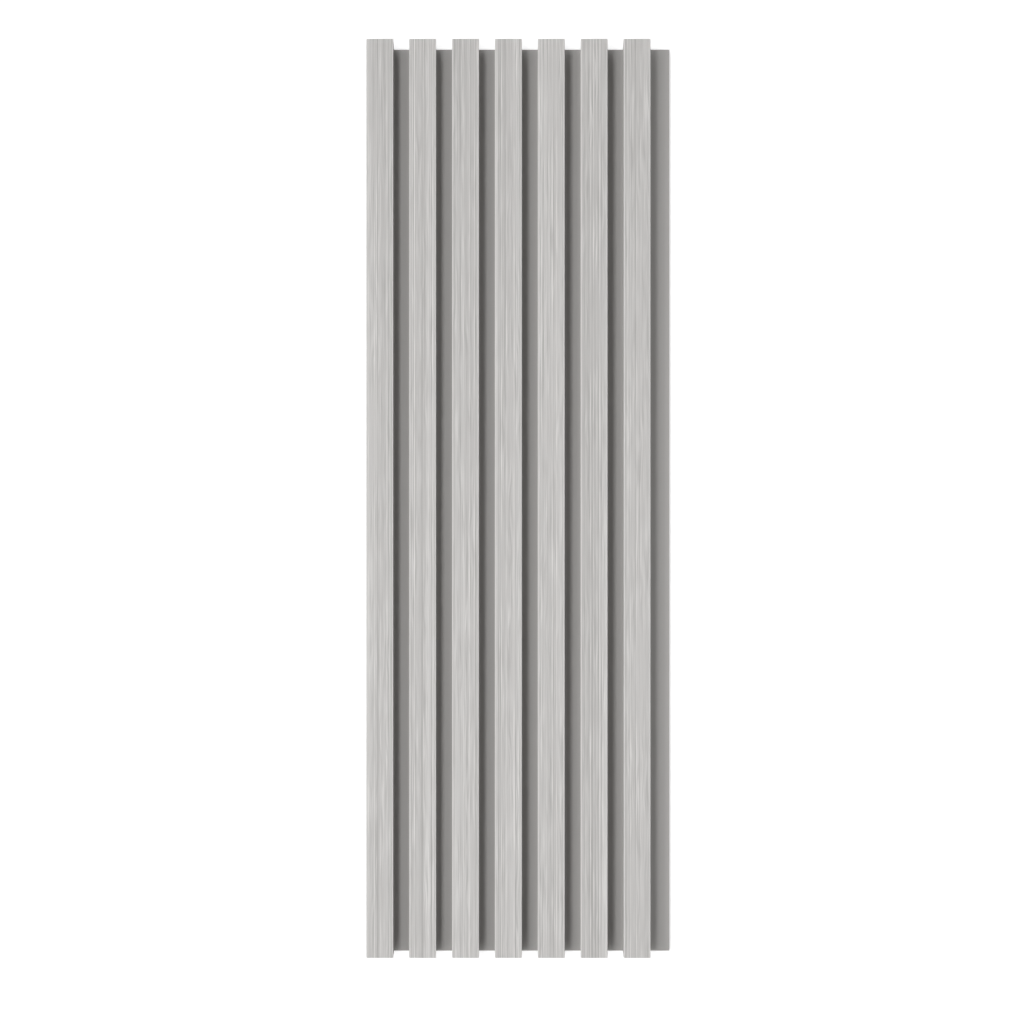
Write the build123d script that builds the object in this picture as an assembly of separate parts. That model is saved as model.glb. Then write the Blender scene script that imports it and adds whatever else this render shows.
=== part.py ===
from build123d import *
from math import hypot
import os

# A slatted cladding panel: one hollow PVC extrusion with a lap joint along its two long edges.
# It lies on its back. X runs across the slats, Y along them and Z out of the wall, and the
# origin is in the middle of the back, at the bottom of the panel's box.

# Driving dimensions, in millimetres
LENGTH = 900.0              # along the slats, between the saw cuts
SLAT_COUNT = 7
SLAT_WIDTH = 26.5           # across the front of one slat
GROOVE_WIDTH = 15.5         # between the fronts of two slats
GROOVE_DEPTH = 20.0         # from the slat fronts down to the groove floor
SIDE_LEAN = 1.6             # how far each side of a slat leans in on its way down to the floor
FLOOR_THICKNESS = 4.0       # solid floor of the grooves, which runs on as the tongue
WALL_THICKNESS = 2.0        # front and sides of a slat, and round the rebate
BACK_THICKNESS = 2.0        # skin behind the chambers
TONGUE_OVERLAP = 6.0        # end of the tongue that the next panel's first slat covers
LAP_SIDE_CLEARANCE = 0.5    # from the tongue's tip to the end of the rebate
LAP_LIFT_CLEARANCE = 0.3    # from the tongue's top to the ceiling of the rebate
FRONT_EDGE_RADIUS = 0.8     # along the front edges of the slats
GROOVE_ROOT_RADIUS = 0.5    # where the slats rise from the floor
CHAMBER_RADIUS = 1.2        # corners of the hollow chambers
LAP_EDGE_RADIUS = 0.6       # tip of the tongue, lip of the rebate and the back's edge beside it
REBATE_ROOT_RADIUS = 0.3    # inner corner of the rebate

# Worked out from them
SLAT_PITCH = SLAT_WIDTH + GROOVE_WIDTH
THICKNESS = FLOOR_THICKNESS + GROOVE_DEPTH
SIDE_SLOPE = SIDE_LEAN / GROOVE_DEPTH
ROUNDED_OFF = FRONT_EDGE_RADIUS * (hypot(1, SIDE_SLOPE) + SIDE_SLOPE - 1)  # the sharp edge stands out by this
WIDTH = SLAT_COUNT * SLAT_PITCH + TONGUE_OVERLAP
LEFT = -WIDTH / 2
RIGHT = WIDTH / 2
REBATE_END = LEFT + TONGUE_OVERLAP + LAP_SIDE_CLEARANCE
REBATE_CEILING = FLOOR_THICKNESS + LAP_LIFT_CLEARANCE
SLAT_LEFTS = [LEFT + i * SLAT_PITCH for i in range(SLAT_COUNT)]


def lean(height):
    """Return how far inside the slat's width its sides are at a height, before its edges are rounded."""
    return SIDE_SLOPE * (THICKNESS - height) - ROUNDED_OFF


def sides(height):
    """Return where the sides of all the slats are at a height, from left to right."""
    return [x for left in SLAT_LEFTS for x in (left + lean(height), left + SLAT_WIDTH - lean(height))]


def strip(left, right, low, high):
    """Return a rectangle of the section, between two distances across and two heights."""
    return Pos((left + right) / 2, (low + high) / 2) * Rectangle(right - left, high - low)


def slat(left, low, high, inset=0.0):
    """Return a slat between two heights, with sides that lean, or what is left of it inside an inset."""
    right = left + SLAT_WIDTH - inset
    left += inset
    return Polygon(
        (left + lean(low), low), (right - lean(low), low),
        (right - lean(high), high), (left + lean(high), high), align=None)


def corners(section, across, height):
    """Return the section's corners that lie at any of the given distances across and heights."""
    def chosen(corner):
        at_across = any(abs(corner.X - x) < 1e-6 for x in across)
        return at_across and any(abs(corner.Y - z) < 1e-6 for z in height)
    return section.vertices().filter_by(chosen)


def outer_section():
    """Return the outline: slats on a common floor, with a rebate at the left and a tongue at the right."""
    front_edges = sides(THICKNESS)
    roots = sides(FLOOR_THICKNESS)[1:]
    lip = sides(REBATE_CEILING)[0]
    section = strip(LEFT, RIGHT, 0, FLOOR_THICKNESS)
    for left in SLAT_LEFTS:
        section += slat(left, FLOOR_THICKNESS, THICKNESS)
    section -= strip(LEFT, REBATE_END, 0, REBATE_CEILING)
    section = fillet(corners(section, front_edges, [THICKNESS]), FRONT_EDGE_RADIUS)
    section = fillet(corners(section, roots, [FLOOR_THICKNESS]), GROOVE_ROOT_RADIUS)
    section = fillet(corners(section, [RIGHT], [0, FLOOR_THICKNESS]), LAP_EDGE_RADIUS)
    section = fillet(corners(section, [lip], [REBATE_CEILING]), LAP_EDGE_RADIUS)
    section = fillet(corners(section, [REBATE_END], [0]), LAP_EDGE_RADIUS)
    return fillet(corners(section, [REBATE_END], [REBATE_CEILING]), REBATE_ROOT_RADIUS)


def chamber(slat_left):
    """Return the hollow of one slat, which keeps a wall's thickness away from the rebate."""
    hollow = slat(slat_left, BACK_THICKNESS, THICKNESS - WALL_THICKNESS, inset=WALL_THICKNESS)
    hollow -= strip(LEFT, REBATE_END + WALL_THICKNESS, 0, REBATE_CEILING + WALL_THICKNESS)
    return fillet(hollow.vertices(), CHAMBER_RADIUS)


def cladding_panel():
    """Return the panel: its section drawn across the slats and drawn out along them."""
    section = outer_section()
    for left in SLAT_LEFTS:
        section -= chamber(left)
    return extrude(Plane.XZ * section, LENGTH / 2, both=True)


os.makedirs("parts", exist_ok=True)
export_step(cladding_panel(), "parts/cladding_panel.step")
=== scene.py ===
"""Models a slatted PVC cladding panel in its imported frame, and sets a plain studio round it."""
from math import atan2, hypot, radians
from types import SimpleNamespace

import bmesh
import bpy
from bpy.props import FloatProperty, FloatVectorProperty, IntProperty, PointerProperty
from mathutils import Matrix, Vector


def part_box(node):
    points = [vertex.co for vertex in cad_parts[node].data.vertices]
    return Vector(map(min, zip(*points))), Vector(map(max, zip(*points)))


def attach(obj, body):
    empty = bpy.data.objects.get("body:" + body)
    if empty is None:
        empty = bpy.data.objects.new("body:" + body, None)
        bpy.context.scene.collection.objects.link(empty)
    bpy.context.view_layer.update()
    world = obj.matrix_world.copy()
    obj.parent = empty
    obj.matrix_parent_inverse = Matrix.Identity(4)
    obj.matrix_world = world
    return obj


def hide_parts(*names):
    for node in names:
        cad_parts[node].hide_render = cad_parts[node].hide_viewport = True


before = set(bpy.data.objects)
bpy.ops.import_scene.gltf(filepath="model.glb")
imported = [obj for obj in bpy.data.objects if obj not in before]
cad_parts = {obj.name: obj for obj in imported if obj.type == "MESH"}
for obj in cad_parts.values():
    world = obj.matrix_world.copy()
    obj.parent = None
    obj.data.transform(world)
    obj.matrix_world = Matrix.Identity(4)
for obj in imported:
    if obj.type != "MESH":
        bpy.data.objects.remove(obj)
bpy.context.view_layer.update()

bl_info = {
    "name": "Slatted cladding panel",
    "version": (1, 0, 0),
    "blender": (4, 5, 0),
    "location": "3D View > Sidebar > Cladding",
    "description": "Models a slatted PVC cladding panel and the plain studio that it is seen in",
    "category": "Object",
}

NODE = "cladding_panel"
BODY = "root"
LOW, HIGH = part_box(NODE)
MM = 0.001
TINY = 0.01 * MM             # nearer than this is the same place
END_FACING = 0.9             # a face that looks along the slats by more than this is a sawn end
FLAT_ANGLE = radians(0.5)    # faces that turn by less than this are one flat face
SMOOTH_ANGLE = radians(40)   # faces that turn by less than this are shaded as one
SAW_SLANT = radians(18)      # of the marks of the saw's teeth
STRAY_NOISE = (0.25, 0.75)   # noise at which strokes stray fully to the left and to the right
PATCH_NOISE = (0.3, 0.7)     # noise of the calmest and of the liveliest patches
SENSOR_WIDTH = 36.0          # of the camera, in its own millimetres
WHITE = (1.0, 1.0, 1.0, 1.0)

# The map that bakes use. A face's room there is its width as a multiple of its real width
MAP_NAME = "OFBake"
FILM_ROOM = 3.3
SIDE_ROOM = 0.7              # floor and sides
HIDDEN_ROOM = 0.15           # back and chambers
END_ROOM = 0.04              # share of the map's height that is kept for each sawn end
END_FILL = 0.9               # share of that room that the end fills, so that the two stay apart


def linear(hex_colour):
    """Turn an sRGB hex colour into the linear RGBA that Blender's sockets hold."""
    parts = [int(hex_colour[i:i + 2], 16) / 255 for i in (1, 3, 5)]
    return [p / 12.92 if p <= 0.04045 else ((p + 0.055) / 1.055) ** 2.4 for p in parts] + [1.0]


def length(name, millimetres, description):
    """Return a length property, given in millimetres and held in metres."""
    return FloatProperty(
        name=name, description=description, default=millimetres * MM, subtype="DISTANCE", unit="LENGTH")


def number(name, value, description, unit="NONE"):
    """Return the property of a share, a strength or another number, with its unit if it has one."""
    return FloatProperty(name=name, description=description, default=value, unit=unit)


def count(name, value, least, description):
    """Return the property of a whole number."""
    return IntProperty(name=name, description=description, default=value, min=least)


def colour(name, hex_colour, description):
    """Return a colour property, given as sRGB hex and held as linear RGBA."""
    return FloatVectorProperty(
        name=name, description=description, default=linear(hex_colour), size=4,
        min=0.0, max=1.0, subtype="COLOR")


class PanelSizes(bpy.types.PropertyGroup):
    """Sizes of the extruded section. Its length, width and thickness are the frame's."""

    slat_count: count("Slats", 7, 2, "Slats side by side")
    slat_width: length("Slat width", 26.5, "Across the front of one slat")
    groove_width: length("Groove width", 15.5, "Between the fronts of two slats")
    side_lean: length("Side lean", 1.6, "How far a slat's side leans in on its way down")
    floor: length("Floor", 4.0, "Thickness of the groove floor and of the tongue")
    wall: length("Wall", 2.0, "Thickness of the walls round a chamber")
    overlap: length("Tongue overlap", 6.0, "End of the tongue that the next panel covers")
    side_clearance: length("Side clearance", 0.5, "From the tongue's tip to the end of the rebate")
    lift_clearance: length("Lift clearance", 0.3, "From the tongue's top to the ceiling of the rebate")
    front_radius: length("Front edge radius", 0.8, "Along the front edges of the slats")
    root_radius: length("Groove root radius", 0.5, "Where the slats rise from the floor")
    chamber_radius: length("Chamber radius", 1.2, "Corners of the hollow chambers")
    lap_radius: length("Lap edge radius", 0.6, "Tip of the tongue and lip of the rebate")
    rebate_radius: length("Rebate root radius", 0.3, "Inner corner of the rebate")
    arc_steps: count("Arc steps", 4, 1, "Faces round a rounded edge")
    press_depth: length("Press depth", 0.1, "Deepest line that the embossing roll presses into the film")
    press_margin: length("Press margin", 1.0, "From a slat's rounded edge to where the embossing is full")
    press_columns: count("Press columns", 64, 2, "Faces across a slat front")
    press_rows: count("Press rows", 90, 2, "Faces along a slat front")


class GrainSettings(bpy.types.PropertyGroup):
    """The fine wood-like grain that the film's print and its embossing share."""

    line_width: length("Line width", 1.5, "Of the thin lines along the whole slat")
    line_run: length("Line run", 4000.0, "How far a thin line keeps its tone")
    stroke_width: length("Stroke width", 1.4, "Of the short strokes among the lines")
    stroke_run: length("Stroke run", 45.0, "How far a stroke keeps its tone")
    stroke_share: number("Stroke share", 0.4, "Weight of the strokes beside the lines")
    stray: length("Stray", 0.9, "How far strokes stray sideways at most")
    stray_width: length("Stray width", 5.0, "Across which strokes stray together")
    stray_run: length("Stray run", 40.0, "Along which strokes stray to and fro")
    band_width: length("Band width", 7.0, "Of the broad faint bands under the lines")
    band_run: length("Band run", 700.0, "How far a band keeps its tone")
    band_share: number("Band share", 0.2, "Weight of the bands beside the lines")
    patch_width: length("Patch width", 6.0, "Of the calm and the lively patches")
    patch_run: length("Patch run", 110.0, "Length of the calm and the lively patches")
    calm: number("Calm", 0.35, "Strength of the grain in the calmest patches")
    lively: number("Lively", 1.4, "Strength of the grain in the liveliest patches")
    darkest: number("Darkest", -0.11, "Sum of the lines, strokes and bands that gives the dark tone")
    lightest: number("Lightest", 0.31, "Sum of the lines, strokes and bands that gives the light tone")
    darkening: number("Darkening", 1.3, "Power above 1 that leaves more dark lines than light ones")


class PanelColours(bpy.types.PropertyGroup):
    """Tones of the printed film, of the plastic under it, and of the painted highlight along the slat
    edges.
    """

    film_dark: colour("Film, dark", "#B1AFAD", "Dark tone of the printed lines")
    film_light: colour("Film, light", "#E1DFDD", "Light tone of the printed lines")
    # Painted highlight: a pale line along each slat edge, and how strong it is right at the edge
    painted_edge_highlight: colour("Film, edge", "#DCDAD8", "Painted highlight along the slat edges")
    edge_highlight_share: number("Edge share", 0.85, "Strength of the painted highlight right at a slat's edge")
    bare_dark: colour("Bare PVC, dark", "#A9A7A5", "Dark die lines on the floor, sides and back")
    bare_light: colour("Bare PVC, light", "#B0AEAC", "Light die lines on the floor, sides and back")
    sawn_dark: colour("Sawn PVC, dark", "#AEACAA", "Dark marks of the saw at both ends")
    sawn_light: colour("Sawn PVC, light", "#C6C4C2", "Plastic laid open and scuffed by the saw")


class StudioSettings(bpy.types.PropertyGroup):
    """Camera and light of the plain studio."""

    camera_x: length("Camera across", -7.22, "Camera place across the panel")
    camera_y: length("Camera along", -85.8, "Camera place along the panel")
    camera_height: length("Camera height", 995.0, "Camera lens above the slat fronts")
    focal_length: number("Focal length", 35.73, "Of the camera's lens, in mm", unit="CAMERA")
    frame_rise: number("Frame rise", 0.0723, "Share of the frame that the lens is shifted up by")
    lamp_y: length("Lamps along", -120.0, "Middle of the lamps along the panel")
    lamp_length: length("Lamp length", 3000.0, "Of each lamp along the panel, for even light")
    key_power: number("Key power", 10.5, "Strip lamp over the left edge", unit="POWER")
    left_power: number("Left power", 25.5, "Soft box at the left", unit="POWER")
    right_power: number("Right power", 9.4, "Low soft box at the right", unit="POWER")
    high_power: number("High power", 5.6, "High soft box at the right", unit="POWER")
    sky: number("Sky", 0.01, "Strength of the even light from all round")
    floor: colour("Floor", "#F2F2F2", "Plain pale studio floor")
    floor_size: length("Floor size", 8000.0, "Side of the square studio floor")
    floor_drop: length("Floor drop", 0.2, "From the panel's back down to the floor")
    floor_glow: number("Floor glow", 0.5, "What the floor near the panel adds where it is seen")


class CladdingSettings(bpy.types.PropertyGroup):
    """All settings of the panel and its studio."""

    sizes: PointerProperty(type=PanelSizes)
    grain: PointerProperty(type=GrainSettings)
    colours: PointerProperty(type=PanelColours)
    studio: PointerProperty(type=StudioSettings)


def places(sizes):
    """Return where the section's sides, ends and heights lie, worked out from the sizes."""
    pitch = sizes.slat_width + sizes.groove_width
    lefts = [LOW[0] + i * pitch for i in range(sizes.slat_count)]
    slope = sizes.side_lean / (HIGH[2] - sizes.floor)
    front_trim = sizes.front_radius * (hypot(1, slope) + slope)

    def lean(height):
        """Return how far inside the slat's width its sides are, before its edges are rounded."""
        return slope * (HIGH[2] - height) + sizes.front_radius - front_trim

    def sides(height):
        """Return where the sides of all the slats are at a height, from left to right."""
        inset = lean(height)
        return [x for left in lefts for x in (left + inset, left + sizes.slat_width - inset)]

    return SimpleNamespace(
        pitch=pitch,
        lefts=lefts,
        lean=lean,
        sides=sides,
        front_trim=front_trim,
        film_low=HIGH[2] - front_trim,
        rebate_end=LOW[0] + sizes.overlap + sizes.side_clearance,
        rebate_ceiling=sizes.floor + sizes.lift_clearance,
        left=LOW[0],
        tip=HIGH[0],
        start=LOW[1],
        end=HIGH[1],
        back=LOW[2],
        front=HIGH[2],
    )


def near(a, b):
    """Return whether two lengths are the same."""
    return abs(a - b) < TINY


def middle(item):
    """Return the middle of an edge or a face."""
    return sum((corner.co for corner in item.verts), Vector()) / len(item.verts)


def at_corner(corner, across, heights):
    """Return whether a corner of the section is at any of those distances across and heights."""
    return any(near(corner.co.x, x) for x in across) and any(near(corner.co.z, z) for z in heights)


def pick(piece, kind, test):
    """In edit mode, select only the vertices, edges or faces that pass the test."""
    bpy.ops.mesh.select_mode(type=kind)
    bpy.ops.mesh.select_all(action="DESELECT")
    mesh = bmesh.from_edit_mesh(piece.data)
    items = {"VERT": mesh.verts, "EDGE": mesh.edges, "FACE": mesh.faces}[kind]
    chosen = [item for item in items if test(item)]
    if not chosen:
        raise RuntimeError(f"nothing of {piece.name} is where it should be selected")
    for item in chosen:
        item.select_set(True)
    mesh.select_flush_mode()
    bmesh.update_edit_mesh(piece.data)


def make_active(piece):
    """In object mode, select only this piece and make it the active one."""
    bpy.ops.object.select_all(action="DESELECT")
    piece.select_set(True)
    bpy.context.view_layer.objects.active = piece


def add_section_plane(name, left, right, low, high, at_y):
    """Add an upright plane across the panel as an object of its own, and start to edit it."""
    bpy.ops.object.select_all(action="DESELECT")
    bpy.ops.mesh.primitive_plane_add(
        size=1, calc_uvs=False, location=((left + right) / 2, at_y, (low + high) / 2),
        rotation=(radians(90), 0, 0))
    plane = bpy.context.object
    plane.name = plane.data.name = name
    bpy.ops.object.transform_apply(location=False, rotation=True, scale=False)
    bpy.ops.transform.resize(value=(right - left, 1, high - low))
    bpy.ops.object.transform_apply(location=True, rotation=False, scale=True)
    bpy.ops.object.mode_set(mode="EDIT")
    return plane


def slide(piece, across, height, distance):
    """Slide the section's corners at those distances across and at that height sideways."""
    pick(piece, "VERT", lambda corner: at_corner(corner, across, [height]))
    bpy.ops.transform.translate(value=(distance, 0, 0))


def extrude(x=0.0, y=0.0, z=0.0):
    """Extrude what is selected by that much."""
    bpy.ops.mesh.extrude_region_move(TRANSFORM_OT_translate={"value": (x, y, z)})


def join_flat_faces():
    """Make one face of the faces that lie in one plane."""
    bpy.ops.mesh.select_all(action="SELECT")
    bpy.ops.mesh.dissolve_limited(angle_limit=FLAT_ANGLE)


def round_corners(piece, offset, steps, test):
    """Round the corners of a flat outline that pass the test, from that far on either side of them."""
    pick(piece, "VERT", test)
    bpy.ops.mesh.bevel(
        offset_type="OFFSET", offset=offset, segments=steps, profile=0.5, affect="VERTICES",
        clamp_overlap=False)


def draw_out(distance):
    """Draw a flat outline out along the slats, as the extruder does, and stop editing it."""
    bpy.ops.mesh.select_all(action="SELECT")
    extrude(y=distance)
    bpy.ops.mesh.select_all(action="SELECT")
    bpy.ops.mesh.normals_make_consistent(inside=False)
    bpy.ops.object.mode_set(mode="OBJECT")


def unroll(solid, start, room):
    """Lay a drawn-out solid's sides on its map, one after another from the start, and return their end.

    The room is a function that takes a side's edge in the section and returns the side's width on the
    map as a multiple of its real width.
    """
    mesh = bmesh.new()
    mesh.from_mesh(solid.data)
    layer = mesh.loops.layers.uv.new(MAP_NAME)
    section = min(mesh.faces, key=lambda face: middle(face).y)
    for rim in section.loops:
        side = next(face for face in rim.edge.link_faces if face != section)
        end = start + rim.edge.calc_length() * room(rim.edge)
        for loop in side.loops:
            across = loop.vert.co - rim.vert.co
            at_start = near(across.x, 0) and near(across.z, 0)
            loop[layer].uv = (start if at_start else end, loop.vert.co.y)
        start = end
    mesh.to_mesh(solid.data)
    mesh.free()
    return start


def model_outer(sizes, place):
    """Model the panel without its chambers: slats on a floor, with a tongue and a rebate."""
    piece = add_section_plane(
        "slatted_panel", place.rebate_end, place.tip, place.back, sizes.floor, place.start)
    feet = place.sides(sizes.floor)
    for foot in feet[1:]:
        bpy.ops.mesh.select_all(action="SELECT")
        bpy.ops.mesh.bisect(plane_co=(foot, 0, 0), plane_no=(1, 0, 0))

    def under_slat(edge):
        spot = middle(edge)
        on_floor = near(spot.z, sizes.floor)
        return on_floor and any(left < spot.x < left + sizes.slat_width for left in place.lefts)

    def above_rebate(edge):
        spot = middle(edge)
        return near(spot.x, place.rebate_end) and spot.z > place.rebate_ceiling

    pick(piece, "EDGE", under_slat)
    extrude(z=place.front - sizes.floor)
    slide(piece, feet[1::2], place.front, sizes.side_lean)
    slide(piece, feet[2::2], place.front, -sizes.side_lean)
    pick(piece, "FACE", lambda face: middle(face).x < feet[1] and middle(face).z > sizes.floor)
    bpy.ops.mesh.bisect(plane_co=(0, 0, place.rebate_ceiling), plane_no=(0, 0, 1))
    pick(piece, "EDGE", above_rebate)
    extrude(x=place.left - place.rebate_end)
    for height in (place.front, place.rebate_ceiling):
        slide(piece, [place.left], height, place.lean(height))
    join_flat_faces()

    rounded = (
        (place.front_trim, place.sides(place.front), [place.front]),
        (sizes.root_radius, feet[1:], [sizes.floor]),
        (sizes.lap_radius, [place.tip], [place.back, sizes.floor]),
        (sizes.lap_radius, place.sides(place.rebate_ceiling)[:1], [place.rebate_ceiling]),
        (sizes.lap_radius, [place.rebate_end], [place.back]),
        (sizes.rebate_radius, [place.rebate_end], [place.rebate_ceiling]),
    )
    for offset, across, heights in rounded:
        round_corners(piece, offset, sizes.arc_steps, lambda corner: at_corner(corner, across, heights))
    draw_out(place.end - place.start)
    return piece


def model_chamber(sizes, place, slat_left):
    """Model the solid of one slat's hollow, longer than the panel so that it cuts clean through."""
    overrun = sizes.slat_width
    low, high = place.back + sizes.wall, place.front - sizes.wall
    left = slat_left + place.lean(low) + sizes.wall
    right = slat_left + sizes.slat_width - place.lean(low) - sizes.wall
    hollow = add_section_plane("chamber", left, right, low, high, place.start - overrun)
    slide(hollow, [left], high, place.lean(high) - place.lean(low))
    slide(hollow, [right], high, place.lean(low) - place.lean(high))
    if near(slat_left, place.left):
        corner_x, corner_z = place.rebate_end + sizes.wall, place.rebate_ceiling + sizes.wall
        bpy.ops.mesh.select_all(action="SELECT")
        bpy.ops.mesh.bisect(plane_co=(corner_x, 0, 0), plane_no=(1, 0, 0))
        bpy.ops.mesh.select_all(action="SELECT")
        bpy.ops.mesh.bisect(plane_co=(0, 0, corner_z), plane_no=(0, 0, 1))
        pick(hollow, "FACE", lambda face: middle(face).x < corner_x and middle(face).z < corner_z)
        bpy.ops.mesh.delete(type="FACE")
        join_flat_faces()
    round_corners(hollow, sizes.chamber_radius, sizes.arc_steps, lambda corner: True)
    draw_out(place.end - place.start + 2 * overrun)
    return hollow


def hollow_out(piece, hollows):
    """Cut the chambers out of the panel."""
    make_active(hollows[0])
    for hollow in hollows:
        hollow.select_set(True)
    bpy.ops.object.join()
    cutter = bpy.context.object
    make_active(piece)
    bpy.ops.object.modifier_add(type="BOOLEAN")
    difference = piece.modifiers[-1]
    difference.operation = "DIFFERENCE"
    difference.solver = "EXACT"
    difference.object = cutter
    bpy.ops.object.modifier_apply(modifier=difference.name)
    make_active(cutter)
    bpy.ops.object.delete()
    make_active(piece)


def model_panel(sizes, place):
    """Model the hollow panel, with a map on which the film gets most of the room."""
    def room(edge):
        if middle(edge).z > place.film_low:
            return FILM_ROOM
        return HIDDEN_ROOM if near(middle(edge).z, place.back) else SIDE_ROOM

    piece = model_outer(sizes, place)
    reach = unroll(piece, 0.0, room)
    hollows = [model_chamber(sizes, place, left) for left in place.lefts]
    for hollow in hollows:
        reach = unroll(hollow, reach, lambda edge: HIDDEN_ROOM)
    hollow_out(piece, hollows)

    mesh = bmesh.new()
    mesh.from_mesh(piece.data)
    layer = mesh.loops.layers.uv[MAP_NAME]
    for face in mesh.faces:
        for loop in face.loops:
            x, y, z = ((at - low) / (high - low) for at, low, high in zip(loop.vert.co, LOW, HIGH))
            if abs(face.normal.y) > END_FACING:
                loop[layer].uv = (x, END_ROOM * (END_FILL * z + (face.normal.y > 0)))
            else:
                loop[layer].uv = (loop[layer].uv.x / reach, 2 * END_ROOM + (1 - 2 * END_ROOM) * y)
    mesh.to_mesh(piece.data)
    mesh.free()
    return piece


def divide_fronts(piece, sizes, place):
    """Divide the slat fronts and their rounded edges into rows and columns, fine enough to emboss."""
    def along_film(edge):
        return middle(edge).z > place.film_low and near(middle(edge).y, 0)

    def across_front(edge):
        return near(middle(edge).z, place.front) and edge.calc_length() > sizes.slat_width / 2

    bpy.ops.object.mode_set(mode="EDIT")
    for test, parts in ((along_film, sizes.press_rows), (across_front, sizes.press_columns)):
        pick(piece, "EDGE", test)
        bpy.ops.mesh.subdivide(number_cuts=parts - 1, ngon=True, quadcorner="STRAIGHT_CUT")
    bpy.ops.object.mode_set(mode="OBJECT")


def add_node(tree, kind, inputs=None, **settings):
    """Add a node, give it its settings, and feed its inputs with values, sockets or other nodes."""
    node = tree.nodes.new(kind)
    for name, value in settings.items():
        setattr(node, name, value)
    for key, value in (inputs or {}).items():
        if isinstance(value, bpy.types.Node):
            value = next(socket for socket in value.outputs if socket.enabled)
        if isinstance(value, bpy.types.NodeSocket):
            tree.links.new(value, node.inputs[key])
        else:
            node.inputs[key].default_value = value
    return node


def streaks(tree, position, width, run, detail=0.0):
    """Add noise drawn out along the slats, with streaks about that wide and long."""
    drawn = add_node(
        tree, "ShaderNodeVectorMath", {0: position, 1: (1 / width, 1 / run, 1 / width)},
        operation="MULTIPLY")
    return add_node(tree, "ShaderNodeTexNoise", {"Vector": drawn, "Scale": 1.0, "Detail": detail})


def wood_grain(tree, position, grain):
    """Add the fine wood-like grain that the film's print and its embossing share.

    Thin lines run along the whole slat, short strokes that stray a little sideways lie among them,
    and both fade in calm patches. Returns 0 on dark, low lines and up to 1 on light, high ones.
    """
    sideways = add_node(
        tree, "ShaderNodeMapRange",
        {"Value": streaks(tree, position, grain.stray_width, grain.stray_run),
         "From Min": STRAY_NOISE[0], "From Max": STRAY_NOISE[1],
         "To Min": -grain.stray, "To Max": grain.stray})
    shift = add_node(tree, "ShaderNodeCombineXYZ", {"X": sideways})
    strayed = add_node(tree, "ShaderNodeVectorMath", {0: position, 1: shift}, operation="ADD")
    lines = streaks(tree, position, grain.line_width, grain.line_run, detail=1.0)
    strokes = streaks(tree, strayed, grain.stroke_width, grain.stroke_run, detail=1.0)
    bands = streaks(tree, position, grain.band_width, grain.band_run)
    strength = add_node(
        tree, "ShaderNodeMapRange",
        {"Value": streaks(tree, position, grain.patch_width, grain.patch_run),
         "From Min": PATCH_NOISE[0], "From Max": PATCH_NOISE[1],
         "To Min": grain.calm, "To Max": grain.lively})
    fine = add_node(
        tree, "ShaderNodeMath", {0: strokes, 1: grain.stroke_share, 2: lines}, operation="MULTIPLY_ADD")
    mean = (1 + grain.stroke_share) / 2
    centred = add_node(tree, "ShaderNodeMath", {0: fine, 1: mean}, operation="SUBTRACT")
    marked = add_node(tree, "ShaderNodeMath", {0: centred, 1: strength}, operation="MULTIPLY")
    toned = add_node(
        tree, "ShaderNodeMath", {0: bands, 1: grain.band_share, 2: marked}, operation="MULTIPLY_ADD")
    spread = add_node(
        tree, "ShaderNodeMapRange",
        {"Value": toned, "From Min": grain.darkest, "From Max": grain.lightest})
    return add_node(tree, "ShaderNodeMath", {0: spread, 1: grain.darkening}, operation="POWER")


def edge_distance(tree, position, sizes, place):
    """Add the distance of a place from the nearer edge of its slat, in metres."""
    across = add_node(tree, "ShaderNodeSeparateXYZ", {0: position}).outputs["X"]
    from_first = add_node(tree, "ShaderNodeMath", {0: across, 1: place.left}, operation="SUBTRACT")
    from_left = add_node(
        tree, "ShaderNodeMath", {0: from_first, 1: place.pitch}, operation="FLOORED_MODULO")
    to_right = add_node(
        tree, "ShaderNodeMath", {0: sizes.slat_width, 1: from_left}, operation="SUBTRACT")
    return add_node(tree, "ShaderNodeMath", {0: from_left, 1: to_right}, operation="MINIMUM")


def across_margin(tree, position, sizes, place, outside, inside):
    """Add a number that goes over from one value to another across the margin of a slat's front."""
    return add_node(
        tree, "ShaderNodeMapRange",
        {"Value": edge_distance(tree, position, sizes, place),
         "From Min": sizes.front_radius, "From Max": sizes.front_radius + sizes.press_margin,
         "To Min": outside, "To Max": inside})


def press_grain(piece, sizes, grain, place):
    """Press the grain into the slat fronts, as the embossing roll does, with applied geometry nodes."""
    tree = bpy.data.node_groups.new("press_grain", "GeometryNodeTree")
    for way in ("INPUT", "OUTPUT"):
        tree.interface.new_socket("Geometry", in_out=way, socket_type="NodeSocketGeometry")
    position = add_node(tree, "GeometryNodeInputPosition")
    height = add_node(tree, "ShaderNodeSeparateXYZ", {0: position}).outputs["Z"]
    on_front = add_node(
        tree, "ShaderNodeMath", {0: height, 1: place.front - TINY}, operation="GREATER_THAN")
    inside = across_margin(tree, position, sizes, place, outside=0.0, inside=sizes.press_depth)
    depth = add_node(tree, "ShaderNodeMath", {0: on_front, 1: inside}, operation="MULTIPLY")
    relief = wood_grain(tree, position, grain)
    below = add_node(tree, "ShaderNodeMath", {0: relief, 1: 1.0}, operation="SUBTRACT")
    drop = add_node(tree, "ShaderNodeMath", {0: below, 1: depth}, operation="MULTIPLY")
    offset = add_node(tree, "ShaderNodeCombineXYZ", {"Z": drop})
    whole = add_node(tree, "NodeGroupInput")
    pressed = add_node(tree, "GeometryNodeSetPosition", {"Geometry": whole, "Offset": offset})
    add_node(tree, "NodeGroupOutput", {0: pressed})
    make_active(piece)
    bpy.ops.object.modifier_add(type="NODES")
    press = piece.modifiers[-1]
    press.node_group = tree
    bpy.ops.object.modifier_apply(modifier=press.name)
    bpy.data.node_groups.remove(tree)


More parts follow.
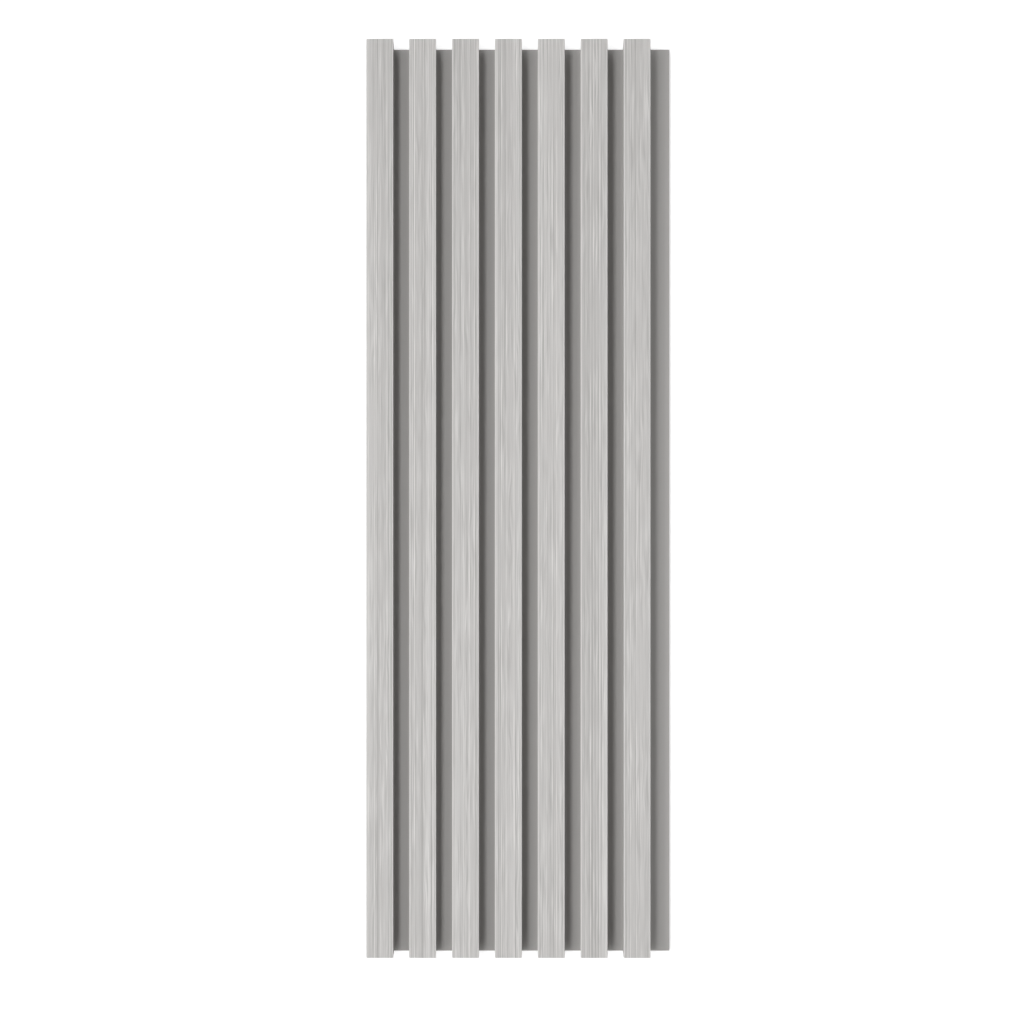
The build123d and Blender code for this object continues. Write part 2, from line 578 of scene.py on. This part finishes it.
def new_material(name):
    """Return a new material with its tree and the Principled shader that it ends in."""
    material = bpy.data.materials.new(name)
    material.use_nodes = True
    tree = material.node_tree
    tree.nodes.clear()
    shader = add_node(tree, "ShaderNodeBsdfPrincipled")
    add_node(tree, "ShaderNodeOutputMaterial", {"Surface": shader})
    return material, tree, shader


def dress(tree, shader, tones, share, roughness, height, depth):
    """Give a shader two tones mixed by a share, a roughness that goes with it, and a fine relief."""
    tone = add_node(
        tree, "ShaderNodeMix", {"Factor": share, "A": tones[0], "B": tones[1]}, data_type="RGBA")
    rough = add_node(
        tree, "ShaderNodeMapRange", {"Value": share, "To Min": roughness[0], "To Max": roughness[1]})
    relief = add_node(tree, "ShaderNodeBump", {"Height": height, "Distance": depth})
    tree.links.new(tone.outputs["Result"], shader.inputs["Base Color"])
    tree.links.new(rough.outputs["Result"], shader.inputs["Roughness"])
    tree.links.new(relief.outputs["Normal"], shader.inputs["Normal"])
    return tone.outputs["Result"]


def printed_pvc_film_and_edge_highlight(settings, place):
    """Return matt PVC decor film, printed with fine pale wood lines and lightly embossed.

    The eye gets a light warm grey with close lengthwise lines about a millimetre wide, which shine
    a little more where they are pale, and a painted highlight, a pale line along
    each slat edge.
    """
    material, tree, shader = new_material("printed_pvc_film_and_edge_highlight")
    position = add_node(tree, "ShaderNodeTexCoord").outputs["Object"]
    colours = settings.colours
    pores = streaks(tree, position, width=0.5 * MM, run=8.0 * MM)
    print_tone = dress(
        tree, shader, tones=(colours.film_dark, colours.film_light),
        share=wood_grain(tree, position, settings.grain), roughness=(0.62, 0.48),
        height=pores, depth=0.01 * MM)
    # Painted highlight: the pale edge tone, full on the rounded edge and gone past the margin
    edge_highlight_share = across_margin(
        tree, position, settings.sizes, place, outside=colours.edge_highlight_share, inside=0.0)
    tone = add_node(
        tree, "ShaderNodeMix", {"Factor": edge_highlight_share, "A": print_tone, "B": colours.painted_edge_highlight},
        data_type="RGBA")
    tree.links.new(tone.outputs["Result"], shader.inputs["Base Color"])
    return material


def extruded_pvc(colours):
    """Return plain rigid PVC as the die leaves it.

    The eye gets one matt grey, a little darker than the film, with faint lengthwise die lines.
    """
    material, tree, shader = new_material("extruded_pvc")
    position = add_node(tree, "ShaderNodeTexCoord").outputs["Object"]
    die_lines = streaks(tree, position, width=2.0 * MM, run=1500.0 * MM, detail=2.0)
    dress(
        tree, shader, tones=(colours.bare_dark, colours.bare_light),
        share=die_lines, roughness=(0.62, 0.5), height=die_lines, depth=0.03 * MM)
    return material


def sawn_pvc(colours):
    """Return PVC where the saw laid it open.

    The eye gets a paler, rougher grey with close slanting marks of the saw's teeth.
    """
    material, tree, shader = new_material("sawn_pvc")
    position = add_node(tree, "ShaderNodeTexCoord").outputs["Object"]
    slanted = add_node(
        tree, "ShaderNodeVectorRotate", {"Vector": position, "Rotation": (radians(90), 0, SAW_SLANT)},
        rotation_type="EULER_XYZ")
    tooth_marks = streaks(tree, slanted, width=0.6 * MM, run=30.0 * MM, detail=2.0)
    dress(
        tree, shader, tones=(colours.sawn_dark, colours.sawn_light),
        share=tooth_marks, roughness=(0.85, 0.7), height=tooth_marks, depth=0.08 * MM)
    return material


def finish_panel(piece, settings, place):
    """Give the slat fronts their film, the rest bare plastic and the two ends their sawn face."""
    finishes = (
        (printed_pvc_film_and_edge_highlight(settings, place), lambda face: True),
        (extruded_pvc(settings.colours), lambda face: middle(face).z < place.film_low),
        (sawn_pvc(settings.colours), lambda face: abs(face.normal.y) > END_FACING),
    )
    bpy.ops.object.mode_set(mode="EDIT")
    for index, (material, test) in enumerate(finishes):
        piece.data.materials.append(material)
        pick(piece, "FACE", test)
        piece.active_material_index = index
        bpy.ops.object.material_slot_assign()
    bpy.ops.object.mode_set(mode="OBJECT")
    bpy.ops.object.shade_smooth_by_angle(angle=SMOOTH_ANGLE)


class CLADDING_OT_model_panel(bpy.types.Operator):
    """Model the panel's hollow section, draw it out, emboss its fronts and give it its finishes"""

    bl_idname = "cladding.model_panel"
    bl_label = "Model Panel"

    def execute(self, context):
        settings = context.scene.cladding
        sizes = settings.sizes
        place = places(sizes)
        piece = model_panel(sizes, place)
        finish_panel(piece, settings, place)
        divide_fronts(piece, sizes, place)
        press_grain(piece, sizes, settings.grain, place)
        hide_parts(NODE)
        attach(piece, BODY)
        return {"FINISHED"}


def seen_directly(tree):
    """Add a number that is 1 for the camera, in reflections and through clear pieces, and 0 for light."""
    path = add_node(tree, "ShaderNodeLightPath").outputs
    seen = add_node(
        tree, "ShaderNodeMath", {0: path["Is Camera Ray"], 1: path["Is Glossy Ray"]}, operation="ADD")
    return add_node(
        tree, "ShaderNodeMath", {0: seen, 1: path["Is Transmission Ray"]},
        operation="ADD", use_clamp=True)


def add_floor(studio):
    """Add the pale floor, which looks white to the camera and still takes the panel's shadow.

    It adds less of its own near the panel, where the lamps light it, than far away, where they don't.
    """
    bpy.ops.object.select_all(action="DESELECT")
    bpy.ops.mesh.primitive_plane_add(size=studio.floor_size, location=(0, 0, -studio.floor_drop))
    floor = bpy.context.object
    floor.name = "studio_floor"
    reach = HIGH[1] - LOW[1]
    material, tree, shader = new_material("matt_white_floor")
    position = add_node(tree, "ShaderNodeTexCoord").outputs["Object"]
    distance = add_node(tree, "ShaderNodeVectorMath", {0: position}, operation="LENGTH").outputs["Value"]
    fade = add_node(
        tree, "ShaderNodeMapRange",
        {"Value": distance, "From Min": reach, "From Max": 2 * reach,
         "To Min": studio.floor_glow, "To Max": 1.0})
    glow = add_node(tree, "ShaderNodeMath", {0: seen_directly(tree), 1: fade}, operation="MULTIPLY")
    tree.links.new(glow.outputs[0], shader.inputs["Emission Strength"])
    shader.inputs["Emission Color"].default_value = WHITE
    shader.inputs["Base Color"].default_value = studio.floor
    shader.inputs["Roughness"].default_value = 1.0
    shader.inputs["Specular IOR Level"].default_value = 0.0
    floor.data.materials.append(material)


def add_lamps(studio):
    """Add the long strip over the left edge, a soft box at the left and two at the right.

    Places and widths are in metres, and the aim is where a lamp points at the height of the fronts.
    """
    lamps = (
        SimpleNamespace(name="key_strip", x=-0.294, z=0.90, aim=1.0, width=0.25, power=studio.key_power),
        SimpleNamespace(name="left_box", x=-1.50, z=1.84, aim=0.7, width=0.45, power=studio.left_power),
        SimpleNamespace(name="right_box", x=1.70, z=1.00, aim=0.0, width=0.8, power=studio.right_power),
        SimpleNamespace(name="high_box", x=1.15, z=1.75, aim=0.0, width=0.6, power=studio.high_power),
    )
    for lamp in lamps:
        slant = atan2(lamp.x - lamp.aim, lamp.z - HIGH[2])
        bpy.ops.object.light_add(
            type="AREA", location=(lamp.x, studio.lamp_y, lamp.z), rotation=(0, slant, 0))
        light = bpy.context.object
        light.name = lamp.name
        light.data.shape = "RECTANGLE"
        light.data.size = lamp.width
        light.data.size_y = studio.lamp_length
        light.data.energy = lamp.power


def add_sky(studio):
    """Add even light from all round, with a white background behind everything."""
    world = bpy.data.worlds.new("studio_sky")
    world.use_nodes = True
    tree = world.node_tree
    tree.nodes.clear()
    strength = add_node(
        tree, "ShaderNodeMapRange", {"Value": seen_directly(tree), "To Min": studio.sky, "To Max": 1.0})
    sky = add_node(tree, "ShaderNodeBackground", {"Color": WHITE, "Strength": strength})
    add_node(tree, "ShaderNodeOutputWorld", {"Surface": sky})
    bpy.context.scene.world = world


def add_camera(studio):
    """Add the camera, which looks straight down on the panel with its lens shifted up."""
    height = HIGH[2] + studio.camera_height
    bpy.ops.object.camera_add(location=(studio.camera_x, studio.camera_y, height))
    camera = bpy.context.object
    camera.data.sensor_width = SENSOR_WIDTH
    camera.data.lens = studio.focal_length
    camera.data.shift_y = studio.frame_rise
    bpy.context.scene.camera = camera


class CLADDING_OT_set_stage(bpy.types.Operator):
    """Set the pale floor, the soft light and the camera that looks down on the panel"""

    bl_idname = "cladding.set_stage"
    bl_label = "Set Stage"

    def execute(self, context):
        studio = context.scene.cladding.studio
        add_floor(studio)
        add_lamps(studio)
        add_sky(studio)
        add_camera(studio)
        context.scene.view_settings.view_transform = "Standard"
        return {"FINISHED"}


class CLADDING_PT_sidebar(bpy.types.Panel):
    """List the settings and the steps"""

    bl_idname = "CLADDING_PT_sidebar"
    bl_label = "Slatted Cladding Panel"
    bl_space_type = "VIEW_3D"
    bl_region_type = "UI"
    bl_category = "Cladding"

    def draw(self, context):
        settings = context.scene.cladding
        for group in (settings.sizes, settings.grain, settings.colours, settings.studio):
            box = self.layout.box()
            for name in group.__annotations__:
                box.prop(group, name)
        self.layout.operator(CLADDING_OT_model_panel.bl_idname)
        self.layout.operator(CLADDING_OT_set_stage.bl_idname)


CLASSES = (
    PanelSizes, GrainSettings, PanelColours, StudioSettings, CladdingSettings,
    CLADDING_OT_model_panel, CLADDING_OT_set_stage, CLADDING_PT_sidebar,
)


def register():
    """Register the classes and hang the settings on the scene."""
    for cls in CLASSES:
        bpy.utils.register_class(cls)
    bpy.types.Scene.cladding = PointerProperty(type=CladdingSettings)


def unregister():
    """Take the settings and the classes away again."""
    del bpy.types.Scene.cladding
    for cls in reversed(CLASSES):
        bpy.utils.unregister_class(cls)


def main():
    """Build the panel and its studio."""
    register()
    bpy.ops.cladding.model_panel()
    bpy.ops.cladding.set_stage()


if __name__ == "__main__":
    main()
